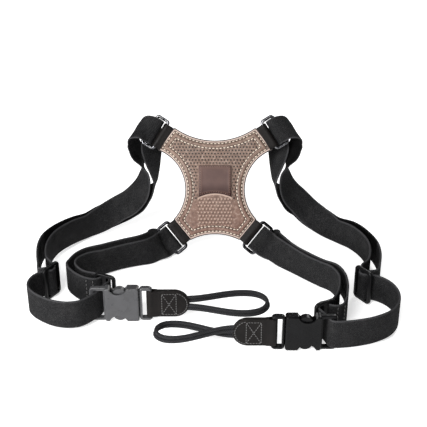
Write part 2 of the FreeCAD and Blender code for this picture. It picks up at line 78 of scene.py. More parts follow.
# ---- sizes shared with the CAD model ----
WEB_WIDTH = 25.0
WEB_THICK = 1.8
MID_HEIGHT = 15.5
PLATE_CENTRE = Vector((1.4, 179.2, 58.4))
PLATE_LEAN = math.radians(27.0)
TOP_ARM_INNER = (37.6, 52.3)
TOP_ARM_OUTER = (53.7, 31.7)
LOW_ARM_OUTER = (38.7, -33.0)
LOW_ARM_INNER = (22.9, -52.3)
TOP_DIP = (0.0, 40.2)
LOW_RISE = (0.0, -46.7)
WAIST = (27.6, -7.0)
HANGER_REACH = 5.5
HANGER_WIDTH = 24.0
RING_SKEW = {False: -6.0, True: 0.0}
HANGER_GAP = {False: 1.35, True: 0.05}
BUCKLES = {
    "left": (Vector((-60.5, 42.3, MID_HEIGHT)), 0.0),
    "right": (Vector((55.5, 1.5, MID_HEIGHT)), 180.0),
}
SOCKET_LENGTH = 40.0
PLUG_BAR_AT = 9.0
TAB_END = 41.0
TAB_WIDTH = 24.5
TAB_FACE = 2.2
CORD = 3.0
LOOP_STRETCH = {"left": 1.07, "right": 1.0}


def middle_of(node):
    low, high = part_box(node)
    return (low + high) / 2


# The left socket's middle is known in both systems, so it gives the layout's move.
SHIFT = middle_of("socket_left") - (BUCKLES["left"][0] + Vector((-SOCKET_LENGTH / 2, 0, 0))) * MM


def place(point):
    return Vector(point) * MM + SHIFT


# ---- camera ----
CAMERA_AT = Vector((0.0, -582.7, 415.8))
CAMERA_TILT = math.radians(63.0)
CAMERA_LENS = 76.4


def make_camera():
    data = bpy.data.cameras.new("camera")
    data.lens = CAMERA_LENS
    data.clip_start = 0.01
    camera = bpy.data.objects.new("camera", data)
    camera.location = place(CAMERA_AT)
    camera.rotation_euler = (CAMERA_TILT, 0, 0)
    bpy.context.scene.collection.objects.link(camera)
    bpy.context.scene.camera = camera


# ---- cords: L past the tab's end, sideways and up, the same points as the CAD tubes' ----
CORD_HIGH = [
    (-5.0, 0.3, 4.8), (4.0, 1.0, 4.8), (15.0, 4.4, 4.5), (27.0, 9.2, 4.0), (37.0, 12.2, 3.4),
    (46.8, 12.9, 2.9), (54.4, 10.3, 2.4), (59.1, 3.9, 1.9), (59.0, -4.1, 1.3), (54.2, -10.4, 0.7),
    (46.6, -12.9, 0.1), (37.0, -12.4, -0.4), (27.0, -9.4, -0.9), (15.0, -4.7, -1.3),
    (4.0, -1.2, -1.6), (-5.0, -0.3, -1.6),
]
CORD_LOW = [
    (-5.0, 0.3, 1.6), (4.0, 1.2, 1.6), (15.0, 4.7, 1.3), (27.0, 9.5, 0.8), (37.0, 12.6, 0.2),
    (47.0, 13.3, -0.3), (55.0, 10.6, -0.8), (59.9, 4.1, -1.3), (59.9, -3.8, -1.9), (54.9, -10.4, -2.5),
    (47.0, -13.0, -3.1), (37.0, -12.3, -3.6), (27.0, -9.2, -4.1), (15.0, -4.5, -4.5),
    (4.0, -1.0, -4.8), (-5.0, -0.3, -4.8),
]


def buckle_point(side, along, through, up):
    """A point given along a buckle's own axes, in layout millimetres."""
    mouth, turn = BUCKLES[side]
    return mouth + Matrix.Rotation(math.radians(turn), 3, "Z") @ Vector((along, through, up))


def make_cord(level, side, route, material):
    data = bpy.data.curves.new("cord_%s_%s_visual" % (level, side), "CURVE")
    data.dimensions = "3D"
    data.bevel_depth = CORD / 2 * MM
    data.bevel_resolution = 6
    data.resolution_u = 12
    spline = data.splines.new("NURBS")
    spline.points.add(len(route) - 1)
    for point, (along, through, up) in zip(spline.points, route):
        at = place(buckle_point(side, TAB_END + along * LOOP_STRETCH[side], through, up))
        point.co = (at.x, at.y, at.z, 1)
    spline.order_u = 3
    spline.use_endpoint_u = True
    cord = link(data.name, data, material)
    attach(cord, "cord_tab_%s" % side)
    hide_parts("cord_%s_%s" % (level, side))
    exit_at = place(buckle_point(side, TAB_END + route[0][0] * LOOP_STRETCH[side], route[0][1], route[0][2]))
    return cord


# ---- node helpers ----
class Nodes:
    """A small wrapper that adds shader nodes and links plain numbers or sockets to them."""

    def __init__(self, name):
        self.material = bpy.data.materials.new(name)
        self.material.use_nodes = True
        self.tree = self.material.node_tree
        self.shader = self.tree.nodes["Principled BSDF"]

    def add(self, kind):
        return self.tree.nodes.new("ShaderNode" + kind)

    def join(self, value, socket):
        if isinstance(value, bpy.types.NodeSocket):
            self.tree.links.new(value, socket)
        else:
            socket.default_value = value

    def math(self, operation, a, b=0.0):
        node = self.add("Math")
        node.operation = operation
        self.join(a, node.inputs[0])
        self.join(b, node.inputs[1])
        return node.outputs[0]

    def times(self, a, b):
        return self.math("MULTIPLY", a, b)

    def plus(self, a, b):
        return self.math("ADD", a, b)

    def minus(self, a, b):
        return self.math("SUBTRACT", a, b)

    def size(self, a):
        return self.math("ABSOLUTE", a)

    def mix(self, factor, a, b):
        node = self.add("Mix")
        node.data_type = "RGBA"
        self.join(factor, node.inputs[0])
        self.join(a, node.inputs[6])
        self.join(b, node.inputs[7])
        return node.outputs[2]

    def coordinates(self, kind="Object"):
        return self.add("TexCoord").outputs[kind]

    def split(self, vector):
        node = self.add("SeparateXYZ")
        self.join(vector, node.inputs[0])
        return node.outputs

    def noise(self, vector, scale, detail=3.0):
        node = self.add("TexNoise")
        for socket, value in (("Vector", vector), ("Scale", scale), ("Detail", detail), ("Roughness", 0.55)):
            self.join(value, node.inputs[socket])
        return node.outputs[0]

    def cells(self, vector, scale):
        node = self.add("TexVoronoi")
        node.feature = "SMOOTH_F1"
        self.join(vector, node.inputs["Vector"])
        self.join(scale, node.inputs["Scale"])
        return node.outputs["Distance"]

    def span(self, value, low, high, to_low=0.0, to_high=1.0):
        """Maps low..high to to_low..to_high, eased and clamped."""
        node = self.add("MapRange")
        node.interpolation_type = "SMOOTHSTEP"
        for socket, number in zip(node.inputs, (value, low, high, to_low, to_high)):
            self.join(number, socket)
        return node.outputs[0]

    def bump(self, height, depth, below=None):
        node = self.add("Bump")
        self.join(1.0, node.inputs["Strength"])
        self.join(depth * MM, node.inputs["Distance"])
        self.join(height, node.inputs["Height"])
        if below is not None:
            self.join(below, node.inputs["Normal"])
        return node.outputs[0]

    def attribute(self, name):
        node = self.add("Attribute")
        node.attribute_name = name
        return node.outputs["Fac"]

    def finish(self, colour, rough, normal=None, metal=0.0, sheen=0.0, specular=0.5, glow=0.0):
        if normal is not None:
            self.join(normal, self.shader.inputs["Normal"])
        for socket, value in (
            ("Base Color", colour), ("Roughness", rough), ("Metallic", metal), ("Sheen Weight", sheen),
            ("Sheen Roughness", 0.45), ("Specular IOR Level", specular), ("Coat Weight", 0.0),
            ("Emission Color", (1, 1, 1, 1)), ("Emission Strength", glow),
        ):
            self.join(value, self.shader.inputs[socket])
        return self.material


def rgb(red, green, blue):
    """A colour given as 0..255 display values, turned to linear light."""
    def linear(value):
        value /= 255
        return value / 12.92 if value <= 0.04045 else ((value + 0.055) / 1.055) ** 2.4
    return (linear(red), linear(green), linear(blue), 1.0)


# ---- materials ----
def weave(n, across_pitch, along_pitch):
    """Height of a plain weave in UV millimetres: bricks of yarn shifted from row to row."""
    x, y, _ = n.split(n.coordinates("UV"))
    column = n.times(x, 1 / across_pitch)
    index = n.math("FLOOR", column)
    shifted = n.plus(n.times(y, 1 / along_pitch), n.times(index, 0.5))
    warp = n.size(n.math("SINE", n.times(column, math.pi)))
    weft = n.size(n.math("SINE", n.times(shifted, math.pi)))
    return n.math("POWER", n.times(warp, weft), 0.5), x


def webbing_material():
    n = Nodes("webbing")
    height, across = weave(n, 1.25, 1.7)
    edge = n.span(n.size(across), WEB_WIDTH / 2 - 1.6, WEB_WIDTH / 2 - 0.4)
    speckle = n.noise(n.coordinates(), 2600.0, 2.0)
    wear = n.noise(n.coordinates(), 90.0, 3.0)
    dark = n.mix(height, rgb(3, 3, 3), rgb(25, 25, 26))
    colour = n.mix(n.span(speckle, 0.42, 0.78, 0.0, 0.6), dark, rgb(82, 82, 83))
    # Painted highlight: a lighter line along each edge of the webbing, standing for light caught by its
    # rounded edges.
    colour = n.mix(n.times(edge, 0.3), colour, rgb(88, 88, 90))
    colour = n.mix(n.span(wear, 0.45, 0.75, 0.0, 0.16), colour, rgb(64, 63, 63))
    # Painted shade: the face that the band marks goes near black, standing for the shadow inside the
    # shoulder loop.
    colour = n.mix(n.times(n.attribute("painted_shade_face"), 0.85), colour, rgb(2, 2, 2))
    return n.finish(colour, 0.8, n.bump(height, 0.3), specular=0.03)


def leather_grain(n, scale, depth):
    """Pebbled grain with fine creases, as a normal and a height."""
    where = n.coordinates()
    pebble = n.cells(where, scale)
    fine = n.noise(where, scale * 2.2, 4.0)
    height = n.minus(n.times(fine, 0.5), pebble)
    return n.bump(height, depth), height


def black_leather_material():
    n = Nodes("black_leather")
    normal, height = leather_grain(n, 1400.0, 0.12)
    mottle = n.noise(n.coordinates(), 160.0)
    colour = n.mix(mottle, rgb(10, 9, 9), rgb(26, 23, 22))
    colour = n.mix(n.span(height, -0.1, 0.4, 0.0, 0.25), colour, rgb(62, 56, 53))
    return n.finish(colour, n.span(mottle, 0.3, 0.7, 0.36, 0.5), normal, specular=0.1)


HOLE_PITCH = 2.95
HOLE_RADIUS = 0.6
BUMP_PITCH = 3.1
BUMP_RADIUS = 0.75


def dots(n, a, b, pitch, radius):
    """1 inside rows of round dots, every second row shifted by half a pitch."""
    row = n.times(b, 1 / pitch)
    index = n.math("FLOOR", row)
    column = n.plus(n.times(a, 1 / pitch), n.times(index, 0.5))
    dx = n.minus(n.math("FRACT", column), 0.5)
    dy = n.minus(n.math("FRACT", row), 0.5)
    square = n.plus(n.times(dx, dx), n.times(dy, dy))
    distance = n.times(n.math("SQRT", square), pitch)
    return n.span(distance, radius, radius + 0.28, 1.0, 0.0)


def tan_leather_material():
    n = Nodes("tan_leather")
    a, b, _ = n.split(n.coordinates("UV"))
    where = n.coordinates()
    normal, height = leather_grain(n, 1100.0, 0.12)
    cloud = n.noise(where, 55.0, 4.0)
    height_share = n.span(b, -52.0, 45.0)
    mottle = n.noise(where, 420.0, 4.0)
    low = n.mix(cloud, rgb(94, 68, 58), rgb(126, 95, 82))
    high = n.mix(cloud, rgb(102, 83, 72), rgb(136, 114, 101))
    colour = n.mix(height_share, low, high)
    colour = n.mix(n.span(mottle, 0.35, 0.5, 0.5, 0.0), colour, rgb(78, 58, 48))
    colour = n.mix(n.span(mottle, 0.5, 0.68, 0.0, 0.45), colour, rgb(172, 152, 138))
    colour = n.mix(n.span(height, -0.45, 0.1, 0.3, 0.0), colour, rgb(70, 52, 44))
    inset = n.attribute("inset")
    # Painted shade: dark lines along both rows of stitches, where the seams dent in.
    for row in (OUTER_ROW, INNER_ROW):
        away = n.size(n.minus(inset, row))
        colour = n.mix(n.span(away, 0.4, 1.1, 0.85, 0.0), colour, rgb(46, 33, 28))
    colour = n.mix(n.span(inset, 1.5, 2.1, 0.75, 0.0), colour, rgb(196, 178, 168))
    colour = n.mix(n.span(inset, 0.8, 1.15, 0.95, 0.0), colour, rgb(24, 19, 18))
    seam = n.plus(b, n.times(n.times(a, a), ARCH_DROP / ARCH_HALF ** 2))
    above = n.minus(seam, ARCH_TOP)
    within = n.span(n.size(a), PATCH_WIDTH / 2, PATCH_WIDTH / 2 + 1.5, 1.0, 0.0)
    crest = n.times(n.span(n.size(n.plus(above, 0.8)), 0.5, 1.0, 1.0, 0.0), within)
    groove = n.times(n.span(n.size(n.minus(above, 0.3)), 0.3, 0.7, 1.0, 0.0), within)
    # Painted highlight on a crest just below the arched seam, and painted shade in the groove along the seam
    # itself.
    colour = n.mix(n.times(crest, 0.7), colour, rgb(178, 154, 140))
    colour = n.mix(n.times(groove, 0.8), colour, rgb(52, 38, 33))
    punched = n.times(dots(n, a, b, HOLE_PITCH, HOLE_RADIUS), punched_area(n, a, b))
    colour = n.mix(n.times(punched, 0.95), colour, rgb(10, 7, 6))
    # Painted shadow to the lower right of each bump, and a painted highlight on the bump itself.
    bumps = n.times(dots(n, a, b, BUMP_PITCH, BUMP_RADIUS), bump_area(n, a, b))
    shaded = dots(n, n.minus(a, BUMP_RADIUS), n.plus(b, BUMP_RADIUS), BUMP_PITCH, BUMP_RADIUS)
    shaded = n.times(shaded, bump_area(n, a, b))
    colour = n.mix(n.times(shaded, 0.6), colour, rgb(66, 48, 41))
    colour = n.mix(n.times(bumps, 0.6), colour, rgb(186, 160, 144))
    relief = n.bump(n.minus(bumps, punched), 0.5, below=normal)
    return n.finish(colour, n.span(cloud, 0.3, 0.7, 0.5, 0.66), relief, specular=0.4)


INNER_ROW = 7.4


def punched_area(n, a, b):
    """The holes fill the panel inside the inner stitches, above the lower part."""
    inside = n.span(n.attribute("inset"), INNER_ROW + 0.4, INNER_ROW + 1.0)
    above = n.span(b, -15.0, -14.0)
    off_patch = n.math("MAXIMUM", n.size(a), n.minus(b, PATCH_CENTRE_UP))
    beside = n.span(off_patch, 16.0, 16.6)
    return n.times(n.times(inside, above), beside)


def bump_area(n, a, b):
    """The bumps fill the middle of the lower panel."""
    inside = n.span(n.attribute("inset"), INNER_ROW + 0.6, INNER_ROW + 1.2)
    middle = n.span(n.size(a), 15.5, 16.2, 1.0, 0.0)
    return n.times(n.times(inside, middle), n.span(b, -13.6, -12.6, 1.0, 0.0))


def lining_material():
    n = Nodes("lining")
    hexes = n.cells(n.coordinates("UV"), 0.62)
    mesh = n.span(hexes, 0.25, 0.5)
    colour = n.mix(mesh, rgb(16, 16, 17), rgb(46, 46, 48))
    return n.finish(colour, 0.85, n.bump(mesh, 0.35), sheen=0.25)


def foam_material():
    n = Nodes("foam")
    pores = n.cells(n.coordinates(), 2200.0)
    return n.finish(n.mix(pores, rgb(14, 13, 13), rgb(34, 30, 28)), 0.95, n.bump(pores, 0.15))


def patch_material():
    n = Nodes("patch_leather")
    normal, _ = leather_grain(n, 1500.0, 0.1)
    cloud = n.noise(n.coordinates(), 120.0, 4.0)
    _, b, _ = n.split(n.coordinates("UV"))
    top = n.mix(cloud, rgb(70, 54, 51), rgb(98, 78, 73))
    bottom = n.mix(cloud, rgb(40, 25, 25), rgb(58, 38, 36))
    colour = n.mix(n.span(b, PATCH_CENTRE_UP - PATCH_HEIGHT / 2, PATCH_CENTRE_UP), bottom, top)
    ridge = n.span(n.attribute("ridge"), 0.2, 0.9)
    colour = n.mix(n.times(ridge, 0.15), colour, rgb(128, 98, 84))
    return n.finish(colour, 0.4, normal, specular=0.12)


def thread_material(name, dark, light):
    n = Nodes(name)
    x, y, z = n.split(n.coordinates())
    twist = n.math("SINE", n.times(n.plus(n.plus(x, y), z), 9000.0))
    share = n.span(twist, -0.6, 0.8)
    return n.finish(n.mix(share, dark, light), 0.62, n.bump(share, 0.06), sheen=0.2)


def metal_material(name, dark, light, wear_and_highlight_colour):
    n = Nodes(name)
    where = n.coordinates()
    brushed = n.noise(where, 900.0, 4.0)
    # Lighter patches: partly wear, partly painted highlight on the metal.
    wear_and_highlight = n.noise(where, 260.0, 3.0)
    colour = n.mix(brushed, dark, light)
    colour = n.mix(n.span(wear_and_highlight, 0.5, 0.7, 0.0, 0.5), colour, wear_and_highlight_colour)
    return n.finish(colour, n.span(brushed, 0.3, 0.7, 0.16, 0.3), n.bump(brushed, 0.02), metal=1.0)


def plastic_material(name, dark, light, rough, shine):
    n = Nodes(name)
    where = n.coordinates()
    spark = n.noise(where, 3200.0, 3.0)
    flow = n.noise(where, 110.0, 3.0)
    colour = n.mix(flow, dark, light)
    roughness = n.plus(n.span(flow, 0.3, 0.7, -0.05, 0.06), rough)
    return n.finish(colour, roughness, n.bump(spark, 0.05), specular=shine)


def cord_material():
    """Fine diagonal braid; U runs along the cord and V round it."""
    n = Nodes("cord_braid")
    u, v, _ = n.split(n.coordinates("UV"))
    turns = 120.0
    strands = 5.0
    one = n.math("SINE", n.times(n.plus(n.times(u, turns), n.times(v, strands)), 2 * math.pi))
    two = n.math("SINE", n.times(n.minus(n.times(u, turns), n.times(v, strands)), 2 * math.pi))
    height = n.span(n.math("MAXIMUM", one, two), 0.0, 1.0)
    colour = n.mix(height, rgb(4, 4, 5), rgb(58, 58, 60))
    return n.finish(colour, 0.7, n.bump(height, 0.3), specular=0.08)


def floor_material():
    n = Nodes("floor")
    grain = n.noise(n.coordinates(), 40.0)
    return n.finish(n.mix(grain, (0.88, 0.88, 0.88, 1), (0.92, 0.92, 0.92, 1)), 0.9, specular=0.1, glow=0.6)


# ---- mesh helpers ----
def link(name, data, material):
    piece = bpy.data.objects.new(name, data)
    bpy.context.scene.collection.objects.link(piece)
    data.materials.append(material)
    return piece


def mesh_piece(name, points, faces, material, uvs=None):
    """A mesh object from layout points; uvs holds one (u, v) a point."""
    data = bpy.data.meshes.new(name)
    data.from_pydata([place(p) for p in points], [], faces)
    if uvs:
        layer = data.uv_layers.new(name="UVMap")
        for loop in data.loops:
            layer.data[loop.index].uv = uvs[loop.vertex_index]
    for polygon in data.polygons:
        polygon.use_smooth = True
    data.update()
    return link(name, data, material)


def smooth_path(stations, step):
    """Points and width directions every step or so along a smooth line through stations."""
    count = len(stations)
    where = [0.0]
    for (near, _), (far, _) in zip(stations, stations[1:]):
        where.append(where[-1] + (far - near).length)

    def slope(i, part):
        low, high = max(i - 1, 0), min(i + 1, count - 1)
        if low == i or high == i:
            return (stations[high][part] - stations[low][part]) / (where[high] - where[low])
        before, after = where[i] - where[low], where[high] - where[i]
        first = (stations[i][part] - stations[low][part]) / before
        second = (stations[high][part] - stations[i][part]) / after
        return (first * after + second * before) / (before + after)

    made = []
    for i in range(count - 1):
        span = where[i + 1] - where[i]
        pieces = max(1, round(span / step))
        for k in range(pieces + (i == count - 2)):
            t = k / pieces
            values = []
            for part in (0, 1):
                p, q = stations[i][part], stations[i + 1][part]
                m, o = slope(i, part) * span, slope(i + 1, part) * span
                values.append(
                    p * (2 * t**3 - 3 * t**2 + 1) + m * (t**3 - 2 * t**2 + t)
                    + q * (3 * t**2 - 2 * t**3) + o * (t**3 - t**2)
                )
            made.append(tuple(values))
    return made


def framed(path):
    """(centre, width direction, face direction, distance) for each point of a path."""
    made = []
    distance = 0.0
    last = len(path) - 1
    for i, (centre, across) in enumerate(path):
        ahead = (path[min(i + 1, last)][0] - path[max(i - 1, 0)][0]).normalized()
        across = (across - ahead * across.dot(ahead)).normalized()
        if i:
            distance += (centre - path[i - 1][0]).length
        made.append((centre, across, ahead.cross(across).normalized(), distance))
    return made


def band_section(width, thick):
    """Half outline of a flat band's section: across and height, from edge to edge."""
    half, lift = width / 2, thick / 2
    rounding = min(lift, 0.9)
    rows = [(-half, 0.0)]
    for angle in (30, 60, 90):
        turn = math.radians(angle)
        rows.append((-half + rounding * (1 - math.cos(turn)), lift * math.sin(turn)))
    for share in (-0.66, -0.33, 0.0, 0.33, 0.66):
        rows.append((share * half, lift))
    rows += [(-x, y) for x, y in reversed(rows[:4])]
    return rows


def band(name, frames, material, width=WEB_WIDTH, thick=WEB_THICK, under=0):
    """Flat webbing or leather strip with rounded edges; UV is in millimetres. The sign of under
    says which face, if any, gets painted shade, a near-black colour standing for the shadow inside a loop."""
    top = band_section(width, thick)
    section = top + [(x, -y) for x, y in reversed(top[1:-1])]
    points = []
    uvs = []
    for centre, across, face, distance in frames:
        for x, y in section:
            points.append(centre + across * x + face * y)
            uvs.append((x, distance))
    size = len(section)
    faces = [tuple(range(size))[::-1]]
    for ring in range(len(frames) - 1):
        for i in range(size):
            j = (i + 1) % size
            low, high = ring * size, (ring + 1) * size
            faces.append((low + i, low + j, high + j, high + i))
    far_end = (len(frames) - 1) * size
    faces.append(tuple(range(far_end, len(frames) * size)))
    piece = mesh_piece(name, points, faces, material, uvs)
    for edge in piece.data.edges:
        edge.use_edge_sharp = max(edge.vertices) < size or min(edge.vertices) >= far_end
    # Painted shade: mark the points of the face that the material darkens to stand for the loop's inner
    # shadow.
    painted_shade = piece.data.attributes.new("painted_shade_face", "FLOAT", "POINT")
    for index, value in enumerate(painted_shade.data):
        value.value = 1.0 if section[index % size][1] * under > 0 else 0.0
    return piece


# ---- outlines ----
def arc_through(a, b, c, step):
    """Points from a to c on the circle through a, b and c, without the last one."""
    (ax, ay), (bx, by), (cx, cy) = a, b, c
    d = 2 * (ax * (by - cy) + bx * (cy - ay) + cx * (ay - by))
    a2, b2, c2 = ax * ax + ay * ay, bx * bx + by * by, cx * cx + cy * cy
    ox = (a2 * (by - cy) + b2 * (cy - ay) + c2 * (ay - by)) / d
    oy = (a2 * (cx - bx) + b2 * (ax - cx) + c2 * (bx - ax)) / d
    radius = math.hypot(ax - ox, ay - oy)
    start = math.atan2(ay - oy, ax - ox)
    turn = (math.atan2(cy - oy, cx - ox) - start) % (2 * math.pi)
    if (math.atan2(by - oy, bx - ox) - start) % (2 * math.pi) > turn:
        turn -= 2 * math.pi
    count = max(2, round(abs(turn) * radius / step))
    return [(ox + radius * math.cos(start + turn * k / count),
             oy + radius * math.sin(start + turn * k / count)) for k in range(count)]


def line_between(a, b, step):
    count = max(1, round(math.dist(a, b) / step))
    return [(a[0] + (b[0] - a[0]) * k / count, a[1] + (b[1] - a[1]) * k / count) for k in range(count)]


def rounded_loop(loop, radius, step):
    """The loop with its sharp corners cut and eased, by averaging points near each corner."""
    passes = round(radius * 2 / step)
    for _ in range(passes):
        size = len(loop)
        loop = [
            tuple((loop[i - 1][k] + 2 * loop[i][k] + loop[(i + 1) % size][k]) / 4 for k in (0, 1))
            for i in range(size)
        ]
    return loop


def plate_loop(step=1.0):
    def mirrored(p):
        return (-p[0], p[1])

    loop = arc_through(mirrored(TOP_ARM_INNER), TOP_DIP, TOP_ARM_INNER, step)
    loop += line_between(TOP_ARM_INNER, TOP_ARM_OUTER, step)
    loop += arc_through(TOP_ARM_OUTER, WAIST, LOW_ARM_OUTER, step)
    loop += line_between(LOW_ARM_OUTER, LOW_ARM_INNER, step)
    loop += arc_through(LOW_ARM_INNER, LOW_RISE, mirrored(LOW_ARM_INNER), step)
    loop += line_between(mirrored(LOW_ARM_INNER), mirrored(LOW_ARM_OUTER), step)
    loop += arc_through(mirrored(LOW_ARM_OUTER), mirrored(WAIST), mirrored(TOP_ARM_OUTER), step)
    loop += line_between(mirrored(TOP_ARM_OUTER), mirrored(TOP_ARM_INNER), step)
    return rounded_loop(loop, 1.2, step)


def rectangle_loop(width, height, radius, step, centre=(0.0, 0.0)):
    loop = []
    for quarter in range(4):
        sx, sy = ((1, 1), (-1, 1), (-1, -1), (1, -1))[quarter]
        cx, cy = centre[0] + sx * (width / 2 - radius), centre[1] + sy * (height / 2 - radius)
        steps = max(3, round(radius * math.pi / 2 / step))
        for k in range(steps + 1):
            turn = math.pi / 2 * (quarter + k / steps)
            loop.append((cx + radius * math.cos(turn), cy + radius * math.sin(turn)))
    filled = []
    for near, far in zip(loop, loop[1:] + loop[:1]):
        filled += line_between(near, far, step)
    return filled


def clockwise(loop):
    """The same loop, turned round where it runs anticlockwise."""
    area = sum(a[0] * b[1] - b[0] * a[1] for a, b in zip(loop, loop[1:] + loop[:1]))
    return loop if area < 0 else loop[::-1]


def inset_loop(loop, inset):
    """The loop moved inwards; points that end up too near the edge are dropped."""
    size = len(loop)
    moved = []
    for i, (x, y) in enumerate(loop):
        (px, py), (qx, qy) = loop[i - 1], loop[(i + 1) % size]
        length = math.hypot(qx - px, qy - py)
        nx, ny = (qy - py) / length, -(qx - px) / length
        candidate = (x + nx * inset, y + ny * inset)
        if distance_to(loop, candidate) > inset * 0.985:
            moved.append(candidate)
    return moved


def distance_to(loop, point):
    x, y = point
    best = 1e9
    for (ax, ay), (bx, by) in zip(loop, loop[1:] + loop[:1]):
        dx, dy = bx - ax, by - ay
        t = ((x - ax) * dx + (y - ay) * dy) / (dx * dx + dy * dy)
        t = min(1.0, max(0.0, t))
        best = min(best, (x - ax - t * dx) ** 2 + (y - ay - t * dy) ** 2)
    return math.sqrt(best)


def inside(loop, point):
    x, y = point
    odd = False
    for (ax, ay), (bx, by) in zip(loop, loop[1:] + loop[:1]):
        if (ay > y) != (by > y) and x < (bx - ax) * (y - ay) / (by - ay) + ax:
            odd = not odd
    return odd


def pad(name, loop, front, back, where, material, grid, insets, names=()):
    """A closed panel over a flat loop: front and back give the two heights from the point's
    distance to the edge; where turns (a, b, height) into a layout point."""
    loop = clockwise(loop)
    points = [Vector(p) for p in loop]
    size = len(loop)
    depth = [0.0] * size
    for inset in insets:
        for p in inset_loop(loop, inset):
            points.append(Vector(p))
            depth.append(inset)
    xs, ys = [p[0] for p in loop], [p[1] for p in loop]
    deepest = insets[-1] + grid * 0.6
    x = min(xs)
    while x < max(xs):
        y = min(ys)
        while y < max(ys):
            if inside(loop, (x, y)):
                reach = distance_to(loop, (x, y))
                if reach > deepest:
                    points.append(Vector((x, y)))
                    depth.append(reach)
            y += grid
        x += grid
    edges = [(i, (i + 1) % size) for i in range(size)]
    verts, _, faces, origin, _, _ = delaunay_2d_cdt(points, edges, [], 1, 1e-5)
    reach = [depth[o[0]] if o else 0.0 for o in origin]
    made = [where(v.x, v.y, front(d, v.x, v.y)) for v, d in zip(verts, reach)]
    count = len(made)
    made += [where(v.x, v.y, back(d, v.x, v.y)) for v, d in zip(verts, reach)]
    uvs = [(v.x, v.y) for v in verts] * 2
    new_of = {o: i for i, group in enumerate(origin) for o in group}
    whole = [tuple(face) for face in faces]
    whole += [tuple(i + count for i in reversed(face)) for face in faces]
    for i in range(size):
        p, q = new_of[i], new_of[(i + 1) % size]
        whole.append((p + count, q + count, q, p))
    piece = mesh_piece(name, made, whole, material, uvs)
    for label, function in (("inset", float), *names):
        values = piece.data.attributes.new(label, "FLOAT", "POINT")
        for i, value in enumerate(reach * 2):
            values.data[i].value = function(value)
    return piece


def stitches(name, paths, thread, material, closed=False):
    """Small thread capsules along paths of (point, outward direction), as one mesh."""
    radius, length, gap = thread
    points = []
    faces = []
    sides = 6
    rings = ((0.0, 0.25), (0.12, 0.8), (0.35, 1.0), (0.65, 1.0), (0.88, 0.8), (1.0, 0.25))
    for path in paths:
        for start, end, out in stitch_spans(path, length, gap, closed):
            ahead = (end - start).normalized()
            side = ahead.cross(out).normalized()
            base = len(points)
            for share, fat in rings:
                lift = math.sin(share * math.pi) * radius * 0.9 - radius * 0.35
                centre = start.lerp(end, share) + out * lift
                for k in range(sides):
                    turn = 2 * math.pi * k / sides
                    points.append(centre + side * (radius * fat * math.cos(turn))
                                  + out * (radius * fat * 0.8 * math.sin(turn)))
            for ring in range(len(rings) - 1):
                for k in range(sides):
                    j = (k + 1) % sides
                    low, high = base + ring * sides, base + (ring + 1) * sides
                    faces.append((low + k, low + j, high + j, high + k))
            faces.append(tuple(base + k for k in range(sides))[::-1])
            faces.append(tuple(base + (len(rings) - 1) * sides + k for k in range(sides)))
    return mesh_piece(name, points, faces, material)


def stitch_spans(path, length, gap, closed):
    """Start, end and outward direction of each stitch along a path, spread evenly."""
    if closed:
        path = path + path[:1]
    where = [0.0]
    for (near, _), (far, _) in zip(path, path[1:]):
        where.append(where[-1] + (far - near).length)
    total = where[-1]
    count = max(1, round(total / (length + gap)))
    pitch = total / count

    def at(distance):
        i = 0
        while i < len(where) - 2 and where[i + 1] < distance:
            i += 1
        span = where[i + 1] - where[i]
        t = (distance - where[i]) / span if span else 0.0
        return path[i][0].lerp(path[i + 1][0], t), path[i][1].lerp(path[i + 1][1], t).normalized()

    made = []
    for k in range(count):
        start, out = at(k * pitch + gap / 2)
        end, _ = at(k * pitch + gap / 2 + pitch - gap)
        made.append((start, end, out))
    return made


# ---- the plate's axes: a to the right, b up the plate, n out of its front ----
AXIS_A = Vector((1, 0, 0))
AXIS_B = Vector((0, math.sin(PLATE_LEAN), math.cos(PLATE_LEAN)))
AXIS_N = Vector((0, -math.cos(PLATE_LEAN), math.sin(PLATE_LEAN)))


def plate_way(a, b, n):
    return AXIS_A * a + AXIS_B * b + AXIS_N * n


def plate_point(a, b, n):
    return PLATE_CENTRE + plate_way(a, b, n)


OUTER_ROW = 3.0
# Threads: radius, length of a stitch and the gap after it.
PLATE_THREAD = (0.48, 2.5, 0.9)
PATCH_THREAD = (0.26, 1.5, 0.7)
WEB_THREAD = (0.32, 2.2, 1.3)
TAB_THREAD = (0.32, 1.7, 0.6)


SEAM_DENT = 0.55
RIM_PUFF = 0.35
RIM_RISE = 0.25
FIELD_RISE = 3.0


def quilt(d, edge, crest, field):
    """Height of the quilted plate at distance d from its edge: pinched rim, puffed channel
    between the two rows of stitches, and a flat field inside them."""
    if d < OUTER_ROW:
        share = d / OUTER_ROW
        return edge + (math.sin(share * math.pi) * RIM_PUFF + share * RIM_RISE)
    if d < INNER_ROW:
        share = (d - OUTER_ROW) / (INNER_ROW - OUTER_ROW)
        low = edge + RIM_RISE + (field - SEAM_DENT - edge - RIM_RISE) * share
        return low + math.sin(share * math.pi) ** 0.7 * (crest - (edge + field) / 2)
    share = min(1.0, (d - INNER_ROW) / FIELD_RISE)
    return field - SEAM_DENT * (1 - share) ** 2


PLATE_FIELD = 3.1
PLATE_CREST = 3.7
PLATE_EDGE = 1.5
LINING_FIELD = 2.8
LINING_CREST = 3.1
LINING_EDGE = 1.2
FOAM_HALF = 0.14
# Distances from the edge at which a panel's mesh has a row of points.
PLATE_INSETS = (0.25, 0.6, 1.1, 1.7, 2.4, 3.0, 3.6, 4.4, 5.2, 6.0, 6.8, 7.4, 8.0, 8.8, 9.8)
LINING_INSETS = (0.3, 0.8, 1.6, 2.3, 3.4, 4.8, 6.2, 7.4, 9.0)
PATCH_INSETS = (0.15, 0.4, 0.8, 1.3, 1.8, 2.2, 2.4, 2.7, 3.2, 4.0)
TAB_INSETS = (0.15, 0.4, 0.8, 1.3, 1.9, 2.5, 3.2)


def plate_front(d, a=0.0, b=0.0):
    return quilt(d, PLATE_EDGE, PLATE_CREST, PLATE_FIELD)


